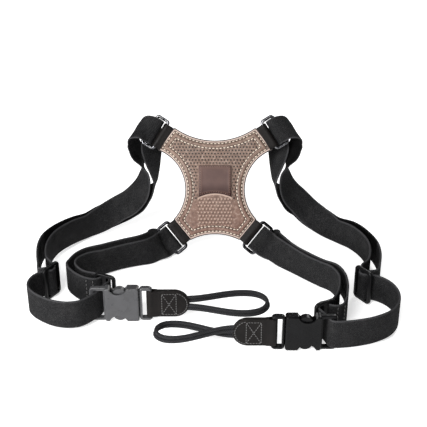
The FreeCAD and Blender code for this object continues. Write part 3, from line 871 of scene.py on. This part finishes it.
def make_plate(m):
    leather = pad("plate_leather", plate_loop(), plate_front, lambda d, a, b: 0.15 + min(d, 2.0) * 0.4,
                  plate_point, m["tan"], 2.0, PLATE_INSETS)
    lining = pad("plate_lining", plate_loop(), lambda d, a, b: -0.15 - min(d, 2.0) * 0.4,
                 lambda d, a, b: -quilt(d, LINING_EDGE, LINING_CREST, LINING_FIELD),
                 plate_point, m["lining"], 2.6, LINING_INSETS)
    core = pad("plate_core", plate_loop(), lambda d, a, b: FOAM_HALF, lambda d, a, b: -FOAM_HALF,
               plate_point, m["foam"], 6.0, (1.0,))
    for piece, node, slot in ((leather, "back_leather", "leather_tan"), (lining, "back_lining", "lining"),
                              (core, "foam_pad", "foam")):
        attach(piece, "harness")
        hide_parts(node)
    loop = clockwise(plate_loop())
    for name, inset in (("outer", OUTER_ROW), ("inner", INNER_ROW)):
        path = [(plate_point(x, y, plate_front(inset) + 0.1), AXIS_N) for x, y in inset_loop(loop, inset)]
        row = stitches("plate_stitches_%s" % name, [path], PLATE_THREAD, m["cream"], closed=True)
        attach(row, "harness")


PATCH_WIDTH = 30.0
PATCH_HEIGHT = 29.0
PATCH_CENTRE_UP = 2.5
PATCH_EDGE = 0.9
# The patch's raised border and its stitches, from its edge.
PATCH_RIDGE = 2.4
PATCH_SEAM = 1.3
ARCH_TOP = -8.7
ARCH_DROP = 4.2
ARCH_HALF = 16.5


def arch(a):
    """Height of the arched seam that the patch's lower edge follows."""
    return ARCH_TOP - ARCH_DROP * (a / ARCH_HALF) ** 2


def make_patch(m):
    """A plain leather patch with a raised border."""
    def ridge(d):
        return math.exp(-((d - PATCH_RIDGE) / 0.55) ** 2)

    def front(d, a, b):
        rim = min(1.0, d / PATCH_EDGE)
        return PLATE_FIELD + PATCH_EDGE + PATCH_EDGE * math.sqrt(1 - (1 - rim) ** 2) + 0.15 * ridge(d)

    square = rectangle_loop(PATCH_WIDTH, PATCH_HEIGHT, PATCH_EDGE, 0.8, (0.0, PATCH_CENTRE_UP))
    loop = [(x, max(y, arch(x))) for x, y in square]
    patch = pad("patch", loop, front, lambda d, a, b: PLATE_FIELD - 0.3, plate_point, m["patch"], 1.5,
                PATCH_INSETS, names=(("ridge", ridge),))
    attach(patch, "harness")
    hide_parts("front_patch")
    less = 2 * PATCH_SEAM
    inner = rectangle_loop(PATCH_WIDTH - less, PATCH_HEIGHT - less, 0.6, 0.8, (0.0, PATCH_CENTRE_UP))
    edge = [(x, max(y, arch(x) + PATCH_SEAM)) for x, y in inner]
    path = [(plate_point(x, y, PLATE_FIELD + 1.75), AXIS_N) for x, y in edge]
    row = stitches("patch_stitches", [path], PATCH_THREAD, m["brown_thread"], closed=True)
    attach(row, "harness")


# ---- rings, hangers and the webbing's turn round each ring ----
def arm_frame(low, side):
    """Middle of an arm's end and its outward direction, in plate axes."""
    inner, outer = (LOW_ARM_INNER, LOW_ARM_OUTER) if low else (TOP_ARM_INNER, TOP_ARM_OUTER)
    middle = Vector(((inner[0] + outer[0]) / 2 * side, (inner[1] + outer[1]) / 2, 0))
    along = Vector(((outer[0] - inner[0]) * side, outer[1] - inner[1], 0)).normalized()
    out = Vector((along.y, -along.x, 0))
    if out.x * side < 0:
        out = -out
    skew = math.radians(RING_SKEW[low] * side)
    return middle, out * math.cos(skew) + Vector((-out.y, out.x, 0)) * math.sin(skew)


def downwards(out):
    along = Vector((out.y, -out.x, 0))
    return -along if along.y > 0 else along


# A folded strip's thickness and, for the hangers, the fold's radius, how far the ends reach
# under the plate's layers, and the strip's height there and where it comes out.
FOLD_THICK = 1.2
FOLD_STEP = 0.5
HANGER_FOLD = 2.35
HANGER_TUCK = -1.0
HANGER_TUCK_HEIGHT = 1.75
HANGER_OUT = 1.5
HANGER_OUT_HEIGHT = 2.1


def half_turn(centre, radius, angles):
    """Points of a fold round a bar, as distance and height."""
    turns = [math.radians(angle) for angle in angles]
    return [(centre + radius * math.cos(turn), radius * math.sin(turn)) for turn in turns]


def arm_stations(low, side, profile):
    """Stations of a strip at an arm's end, from distances out of the arm and heights."""
    middle, out = arm_frame(low, side)
    along = downwards(out)
    made = []
    for x, height in profile:
        at = middle + out * x
        made.append((plate_point(at.x, at.y, height), plate_way(along.x, along.y, 0)))
    return made


def make_hanger(level, low, name, side, m):
    """A leather strip folded round the ring's inner bar, its ends under the plate's layers."""
    way_out = HANGER_GAP[low] + HANGER_OUT
    profile = [(HANGER_TUCK, HANGER_TUCK_HEIGHT), (way_out, HANGER_OUT_HEIGHT)]
    profile += half_turn(HANGER_REACH, HANGER_FOLD, range(90, -91, -30))
    profile += [(way_out, -HANGER_OUT_HEIGHT), (HANGER_TUCK, -HANGER_TUCK_HEIGHT)]
    frames = framed(smooth_path(arm_stations(low, side, profile), FOLD_STEP))
    hanger = band("hanger_%s_%s_fold" % (level, name), frames, m["black_leather"], HANGER_WIDTH, FOLD_THICK)
    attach(hanger, "harness")
    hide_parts("hanger_%s_%s" % (level, name))


# The webbing's way through each ring, from front to back: out of the arm's end, and height.
RING_PASS = {
    False: [(14.2, 4.6), (11.4, 3.5), (10.0, 0.9), (10.0, -0.9), (11.2, -2.9)],
    True: [(14.4, 3.9), (11.6, 3.2), (10.1, 0.9), (10.1, -0.9), (11.4, -3.2), (15.0, -4.2)],
}

# The shoulder strap's front layer leaves the ring in a loose curl, then twists to stand on
# edge. Rows are a, b, n and the width direction in plate axes, mirrored for the left side.
CURL_ROWS = [
    (62.4, 50.9, 5.0, 0.24, -0.94, 0.10),
    (69.2, 50.7, 4.0, 0.06, -0.74, 0.67),
    (74.2, 48.4, 1.0, 0.02, -0.42, 0.91),
    (77.0, 44.6, -2.0, 0.14, -0.18, 0.97),
    (76.6, 39.8, -5.0, 0.36, -0.14, 0.92),
    (74.2, 33.4, -7.5, 0.46, -0.07, 0.88),
    (71.4, 25.6, -9.5, 0.38, -0.06, 0.92),
    (68.0, 18.9, -11.0, 0.08, -0.04, 0.98),
    (66.2, 11.2, -13.0, -0.34, -0.11, 0.93),
    (67.4, 2.2, -16.0, -0.58, -0.25, 0.78),
    (72.2, -7.6, -20.0, -0.74, -0.42, 0.52),
    (80.4, -15.8, -25.0, -0.74, -0.60, 0.30),
]
HANG_ROWS = [
    (57.0, 49.0, -5.4, 0.58, -0.80, 0.05),
    (58.4, 47.4, -9.6, 0.62, -0.75, 0.15),
    (59.4, 42.0, -13.5, 0.68, -0.62, 0.38),
    (60.0, 33.4, -16.0, 0.72, -0.26, 0.64),
    (59.2, 24.6, -16.5, 0.60, -0.06, 0.80),
    (58.0, 17.4, -17.0, 0.44, 0.0, 0.90),
    (56.8, 9.5, -18.0, 0.22, -0.02, 0.975),
    (56.6, 1.5, -19.5, 0.0, -0.10, 0.99),
    (60.8, -5.5, -22.0, -0.28, -0.25, 0.92),
    (69.0, -12.3, -26.0, -0.60, -0.42, 0.68),
    (81.5, -19.7, -32.6, -0.70, -0.58, 0.42),
]
UNDERARM_START = {
    "inner": [(47.6, -56.3, 3.6, -0.634, -0.775, 0.0)],
    "outer": [(47.8, -54.4, -3.9, -0.66, -0.70, 0.15)],
}
# Table rows are x, y, then z where the strap isn't at mid height, then its width direction.
SHOULDER = {
    "left": {
        "front": [(-92.5, 196.5, 23.5, 0.6, -0.44, -0.65), (-106, 189, 17.5, 0.3, -0.25, -0.92),
                  (-119, 180, 14), (-132, 164), (-143, 147), (-147.5, 127), (-147, 110), (-143.5, 96),
                  (-138.5, 88.5), (-135.9, 82.5)],
        "back": [(-93, 200, 19.2, 0.6, -0.46, -0.65), (-107, 192.6, 16.2, 0.3, -0.25, -0.92),
                 (-120.5, 183.5, 14.2), (-134, 170.5), (-147, 155), (-154, 139), (-155.5, 122),
                 (-153.5, 104), (-150, 88), (-147, 78)],
    },
    "right": {
        "front": [(91.5, 191.5, 23.5, -0.6, -0.44, -0.65), (104, 181, 17.5, -0.3, -0.25, -0.92),
                  (116, 170, 14), (127, 155), (135.5, 137), (138, 120), (136.5, 105), (133, 93),
                  (126.5, 84.5), (123.9, 76)],
        "back": [(92.2, 194.6, 20.4, -0.6, -0.46, -0.65), (104, 184.8, 16.4, -0.3, -0.25, -0.92),
                 (116.5, 174.4, 14.3), (131, 161), (141.5, 141),
                 (146, 122), (145.5, 104), (142, 87), (138.5, 76)],
    },
}
CHEST = {
    "left": [(-140.5, 74.1), (-145.3, 71.6), (-149.8, 66.6), (-152.5, 58), (-151.5, 49), (-146.5, 41),
             (-138, 33.2), (-127.5, 27.2), (-116.5, 24.8), (-108, 26.4), (-102, 31), (-98, 35.8),
             (-94.9, 39.6), (-92.7, 43.6), (-91.2, 48.2), (-88.8, 52.8), (-86.3, 56.6)],
    "right": [(129.2, 67.8), (133.8, 66.6), (139.5, 63), (145.5, 56), (149, 46.5), (149.5, 36),
              (146.8, 24.5), (138.5, 12.8), (126, 4.6), (112, -0.2), (100, -2.3), (94.6, -2.5),
              (91.2, -1.5), (89.2, 1.6), (87.9, 5.6), (86.2, 9.6), (84.2, 13), (82.9, 16)],
}
UNDERARM = {
    "left": {
        "inner": [(-48.2, 144.4, 12.2, 0.48, 0.0, -0.88), (-57.1, 135.2, 12.2, 0.40, 0.07, -0.91),
                  (-68, 129.0, 12.8, 0.25, 0.08, -0.96), (-80, 123.5, 13),
                  (-98, 111.5, 14), (-111, 103), (-117.5, 95), (-118, 86.5), (-114, 79),
                  (-107.5, 73), (-101.5, 70.8), (-94, 67.8)],
        "outer": [(-51.6, 156.6, 10.9, 0.56, -0.40, -0.72), (-57, 147.6, 12.2, 0.34, -0.16, -0.93),
                  (-66.4, 141.5, 12.9), (-80.5, 134.2, 13),
                  (-99, 122, 14), (-114.6, 110.5), (-120.6, 102.6), (-123.4, 94.6), (-125.3, 87.2),
                  (-123.2, 80.6), (-118.5, 73.5), (-111, 66), (-104, 61.8), (-98.5, 60.6), (-94.4, 62.4)],
    },
    "right": {
        "inner": [(50.8, 144.4, 12.2, -0.48, 0.0, -0.88), (60, 130.8, 12.3, -0.32, 0.04, -0.94),
                  (70, 117.6, 12.8, -0.15, 0.04, -0.98), (81, 104, 13), (92, 91, 14),
                  (100.5, 80), (104.5, 68.5), (104, 56), (101.5, 44), (98, 35), (94.3, 29.2), (91.5, 27.1)],
        "outer": [(53.4, 155.6, 10.9, -0.56, -0.40, -0.72), (56.5, 147.5, 12.2, -0.40, -0.10, -0.91),
                  (63.2, 135.6, 12.6, -0.26, 0.02, -0.96), (72.5, 122, 13), (83.5, 108.2, 13.2),
                  (94.5, 95, 14), (105.8, 83), (110, 70), (110.5, 56), (108.5, 41), (105.5, 28.5),
                  (101.5, 21.5), (96.8, 20), (92, 21.5)],
    },
}


def plate_stations(side, rows):
    made = []
    for a, b, n, wa, wb, wn in rows:
        made.append((plate_point(side * a, b, n), plate_way(side * wa, wb, wn)))
    return made


def table_stations(rows):
    made = []
    for row in rows:
        z = row[2] if len(row) > 2 else MID_HEIGHT
        made.append((Vector((row[0], row[1], z)), Vector(row[3:6]) if len(row) > 3 else DOWN))
    return made


# Sliders: middle in plan, heading, and the sign of the side on which the webbing comes and
# goes; it crosses the middle bar on the other side. Offsets are along and through.
SLIDERS = {
    "slider_upper_left": (-137.5, 77.5, 60.0, 1),
    "slider_upper_right": (126.0, 71.0, 123.4, -1),
    "slider_lower_left": (-90.0, 62.0, 154.5, 1),
    "slider_lower_right": (88.0, 21.0, 30.2, -1),
}
OVER_BAR = [(2.7, -2.1), (0.0, -2.9), (-2.7, -2.1)]
LAST_END = {"slider_upper": [(0.4, 2.9)], "slider_lower": [(2.0, -4.6), (-1.6, -4.9)]}


def slider_stations(slider, offsets):
    x, y, heading, sign = SLIDERS[slider]
    turn = Matrix.Rotation(math.radians(heading), 3, "Z")
    made = []
    for along, through in offsets:
        made.append((Vector((x, y, MID_HEIGHT)) + turn @ Vector((along, sign * through, 0)), DOWN))
    return made


def harness_stations(name, side):
    """The whole webbing of one side, from its end on the upper slider, through both rings and
    both sliders, to its end on the lower slider, as named stretches in order."""
    upper, lower = "slider_upper_" + name, "slider_lower_" + name
    tables = {key: table_stations(rows) for key, rows in UNDERARM[name].items()}
    tables.update({key: table_stations(rows) for key, rows in SHOULDER[name].items()})
    return [
        ("end_upper", slider_stations(upper, LAST_END["slider_upper"])),
        ("back", tables["back"][::-1]),
        ("hang", plate_stations(side, HANG_ROWS)[::-1]),
        ("ring_top", arm_stations(False, side, RING_PASS[False])[::-1]),
        ("curl", plate_stations(side, CURL_ROWS)),
        ("front", tables["front"]),
        ("over_upper", slider_stations(upper, OVER_BAR)),
        ("chest", table_stations(CHEST[name])),
        ("over_lower", slider_stations(lower, OVER_BAR[::-1])),
        ("outer", tables["outer"][::-1]),
        ("outer_start", plate_stations(side, UNDERARM_START["outer"])),
        ("ring_low", arm_stations(True, side, RING_PASS[True])[::-1]),
        ("inner_start", plate_stations(side, UNDERARM_START["inner"])),
        ("inner", tables["inner"]),
        ("end_lower", slider_stations(lower, LAST_END["slider_lower"])),
    ]


# Where the webbing is divided into parts: stretch and station.
CUTS = [
    ("back", -6), ("front", 4), ("over_upper", 1), ("chest", 7), ("over_lower", 1), ("outer", 9),
    ("inner", 4),
]
# Each part: name, moving body, for a slider the end that it is on and the reach of the bend,
# and the CAD webbing that it stands for.
PARTS = [
    ("shoulder_back", "slider_upper", "first", 42.0, ["shoulder_strap_back"]),
    ("shoulder_loop", "ring_top", None, 0.0, ["shoulder_strap_front"]),
    ("shoulder_front", "slider_upper", "last", 42.0, []),
    ("chest_outer", "slider_upper", "first", 42.0, ["chest_strap"]),
    ("chest_inner", "slider_lower", "last", 24.0, []),
    ("underarm_outer", "slider_lower", "first", 34.0, ["underarm_strap_outer"]),
    ("underarm_loop", "ring_low", None, 0.0, ["underarm_strap_inner"]),
    ("underarm_inner", "slider_lower", "last", 34.0, []),
]
HOLD = 12.0


def blend_line(body, side, frames, end, reach):
    """Two points for a part: where following its moving body would start, and where it would be full."""
    if body == "ring_low":
        return plate_point(side * 57.0, -69.0, 0), plate_point(side * 47.0, -55.0, 0)
    if body == "ring_top":
        return plate_point(side * 65.0, 20.0, 0), plate_point(side * 65.0, 48.0, 0)
    ordered = frames if end == "first" else frames[::-1]
    origin = ordered[0][3]
    far = next(f[0] for f in ordered if abs(f[3] - origin) >= reach)
    near = next(f[0] for f in ordered if abs(f[3] - origin) >= HOLD)
    return far, near


# Two rows of stitches cross the under-arm webbing, this far from its slider end.
WEB_ROWS = (18.3, 12.5)


def stitch_row(frames, reach):
    """A row across the webbing, on its face towards the front of the table."""
    origin = frames[0][3]
    centre, across, face, _ = next(frame for frame in frames if frame[3] - origin >= reach)
    out = -face if face.y > 0 else face
    half = WEB_WIDTH / 2 - 1.5
    return [(centre + across * share + out * (WEB_THICK / 2 + 0.1), out) for share in (-half, 0.0, half)]


def make_webbing(name, side, m):
    stretches = harness_stations(name, side)
    by_name = dict(stretches)
    frames = framed(smooth_path([station for _, group in stretches for station in group], 1.3))
    cuts = [0]
    for stretch, index in CUTS:
        at = by_name[stretch][index][0]
        cuts.append(min(range(len(frames)), key=lambda i: (frames[i][0] - at).length))
    cuts.append(len(frames) - 1)
    for (label, body, end, reach, nodes), first, last in zip(PARTS, cuts, cuts[1:]):
        part = frames[first:last + 1]
        # The shoulder loop's inner face gets painted shade.
        under = side if label == "shoulder_loop" else 0
        piece = band("%s_webbing_%s" % (label, name), part, m["webbing"], under=under)
        start, finish = blend_line(body, side, part, end, reach)
        place(start)
        place(finish)
        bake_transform(piece)
        if nodes:
            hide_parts(*["%s_%s" % (node, name) for node in nodes])
        if label == "underarm_outer":
            rows = stitches("underarm_stitches_" + name, [stitch_row(part, reach) for reach in WEB_ROWS],
                            WEB_THREAD, m["dark_thread"])
            place(start)
            place(finish)
            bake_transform(rows)


# ---- leather tabs on the plugs ----
def tab_loop(start, inset, step=0.8):
    """The tab's outline in L and up: straight from start, then a round far end."""
    half = TAB_WIDTH / 2 - inset
    centre = TAB_END - TAB_WIDTH / 2
    loop = line_between((start, -half), (centre, -half), step)
    loop += arc_through((centre, -half), (centre + half, 0), (centre, half), step)
    loop += line_between((centre, half), (start, half), step)
    loop += line_between((start, half), (start, -half), step)
    return loop


TAB_START = 12.6
TAB_EDGE = 0.9
TAB_FOLD = 2.55
# Ends of the fold that joins the two layers: distance and height.
TAB_FOLD_ENDS = [(15.0, 1.6), (12.0, 2.0)]
BOX_START = 18.5
BOX_END = 30.2
BOX_HALF = 9.6
TAB_SEAM = 1.9


def make_tab(side, m):
    body = "cord_tab_%s" % side

    def layer(sign):
        def where(along, up, height):
            return buckle_point(side, along, sign * height, up)
        return where

    def dome(d, a, b):
        rim = min(1.0, d / TAB_EDGE)
        seam = 0.22 * math.exp(-((d - TAB_SEAM) / 0.5) ** 2)
        return TAB_EDGE + (TAB_FACE - TAB_EDGE) * math.sqrt(1 - (1 - rim) ** 2) - seam

    pieces = []
    for label, sign in (("front", -1), ("back", 1)):
        piece = pad("tab_%s_%s" % (label, side), tab_loop(TAB_START, 0.0), dome, lambda d, a, b: 0.1,
                    layer(sign), m["black_leather"], 1.6, TAB_INSETS)
        pieces.append(piece)
        face = layer(sign)
        out = (face(0, 0, 1) - face(0, 0, 0)).normalized()
        corners = [(BOX_START, -BOX_HALF), (BOX_END, -BOX_HALF), (BOX_END, BOX_HALF), (BOX_START, BOX_HALF)]
        box = [(face(x, y, TAB_FACE + 0.05), out) for x, y in corners]
        seam = [(face(x, y, TAB_FACE - 0.1), out)
                for x, y in tab_loop(BOX_END, TAB_SEAM) if x > BOX_END + 0.1]
        paths = [box + box[:1], [box[0], box[2]], [box[1], box[3]], seam]
        pieces.append(stitches("tab_stitches_%s_%s" % (label, side), paths, TAB_THREAD, m["dark_thread"]))
    profile = TAB_FOLD_ENDS + half_turn(PLUG_BAR_AT, TAB_FOLD, range(90, 271, 30))
    profile += [(x, -y) for x, y in TAB_FOLD_ENDS[::-1]]
    stations = [(buckle_point(side, x, y, 0), DOWN) for x, y in profile]
    frames = framed(smooth_path(stations, FOLD_STEP))
    pieces.append(band("tab_fold_%s" % side, frames, m["black_leather"], TAB_WIDTH, FOLD_THICK))
    for piece in pieces:
        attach(piece, body)
    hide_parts(body)


# ---- finishes on the CAD nodes that stay ----
def repaint(nodes, material):
    for name in nodes:
        data = frame["nodes"][name].data
        data.materials.clear()
        data.materials.append(material)


def light(name, location, size, power):
    data = bpy.data.lights.new(name, "AREA")
    data.shape = "DISK"
    data.size = size
    data.energy = power
    lamp = bpy.data.objects.new(name, data)
    lamp.location = location
    lamp.rotation_euler = (Vector(LIGHT_TARGET) - Vector(location)).to_track_quat("-Z", "Y").to_euler()
    bpy.context.scene.collection.objects.link(lamp)


# Studio sizes are metres, and powers are watts.
FLOOR_HALF = 30.0
WORLD_LIGHT = 0.12
LIGHT_TARGET = (0, 0, 0.03)
LIGHTS = [
    ("key", (-0.4, -0.95, 0.95), 0.6, 17.0),
    ("side", (-0.85, -0.8, 0.3), 0.35, 13.0),
    ("rim", (0.6, 0.9, 0.8), 0.5, 9.0),
]


def make_studio(m):
    data = bpy.data.meshes.new("floor")
    corners = [(x * FLOOR_HALF, y * FLOOR_HALF, 0) for x, y in ((-1, -1), (1, -1), (1, 1), (-1, 1))]
    data.from_pydata(corners, [], [(0, 1, 2, 3)])
    floor = link("floor", data, m["floor"])
    world = bpy.data.worlds.new("studio")
    world.use_nodes = True
    background = world.node_tree.nodes["Background"]
    background.inputs["Color"].default_value = (1, 1, 1, 1)
    background.inputs["Strength"].default_value = WORLD_LIGHT
    bpy.context.scene.world = world
    bpy.context.scene.view_settings.view_transform = "Standard"
    for name, location, size, power in LIGHTS:
        light(name, location, size, power)


def make_materials():
    return {
        "webbing": webbing_material(),
        "black_leather": black_leather_material(),
        "tan": tan_leather_material(),
        "lining": lining_material(),
        "foam": foam_material(),
        "patch": patch_material(),
        "cream": thread_material("cream_thread", rgb(196, 178, 160), rgb(246, 232, 214)),
        "brown_thread": thread_material("brown_thread", rgb(84, 60, 48), rgb(128, 98, 80)),
        "dark_thread": thread_material("dark_thread", rgb(58, 58, 58), rgb(104, 103, 102)),
        # The rings are one metal: the top rings get a lighter copy as painted light, the low rings a darker
        # copy as painted shade.
        "ring_top": metal_material("metal_lit_copy", rgb(58, 58, 61), rgb(128, 128, 132), rgb(206, 206, 204)),
        "ring_low": metal_material("metal_shaded_copy", rgb(20, 20, 22), rgb(52, 52, 55), rgb(104, 104, 106)),
        # Both buckles are one plastic: the left gets a lighter, shinier copy as painted light, the right a
        # darker copy as painted shade.
        "buckle_left": plastic_material("buckle_plastic", rgb(48, 48, 49), rgb(72, 72, 74), 0.3, 0.35),
        "buckle_right": plastic_material("buckle_plastic_dark", rgb(7, 7, 8), rgb(17, 17, 18), 0.26, 0.12),
        "slider": plastic_material("slider_plastic", rgb(9, 9, 10), rgb(22, 22, 23), 0.32, 0.14),
        "cord": cord_material(),
        "floor": floor_material(),
    }


def make_all():
    make_camera()
    m = make_materials()
    for name, _ in SIDES:
        make_cord("high", name, CORD_HIGH, m["cord"])
        make_cord("low", name, CORD_LOW, m["cord"])
    make_plate(m)
    make_patch(m)
    for level, low in (("top", False), ("low", True)):
        for name, side in SIDES:
            make_hanger(level, low, name, side, m)
    for name, side in SIDES:
        make_webbing(name, side, m)
        make_tab(name, m)
        repaint(["socket_%s" % name, "plug_%s" % name, "prong_upper_%s" % name, "prong_lower_%s" % name],
                m["buckle_%s" % name])
        repaint(["slider_upper_%s" % name, "slider_lower_%s" % name], m["slider"])
        repaint(["ring_top_%s" % name], m["ring_top"])
        repaint(["ring_low_%s" % name], m["ring_low"])
    make_studio(m)


make_all()
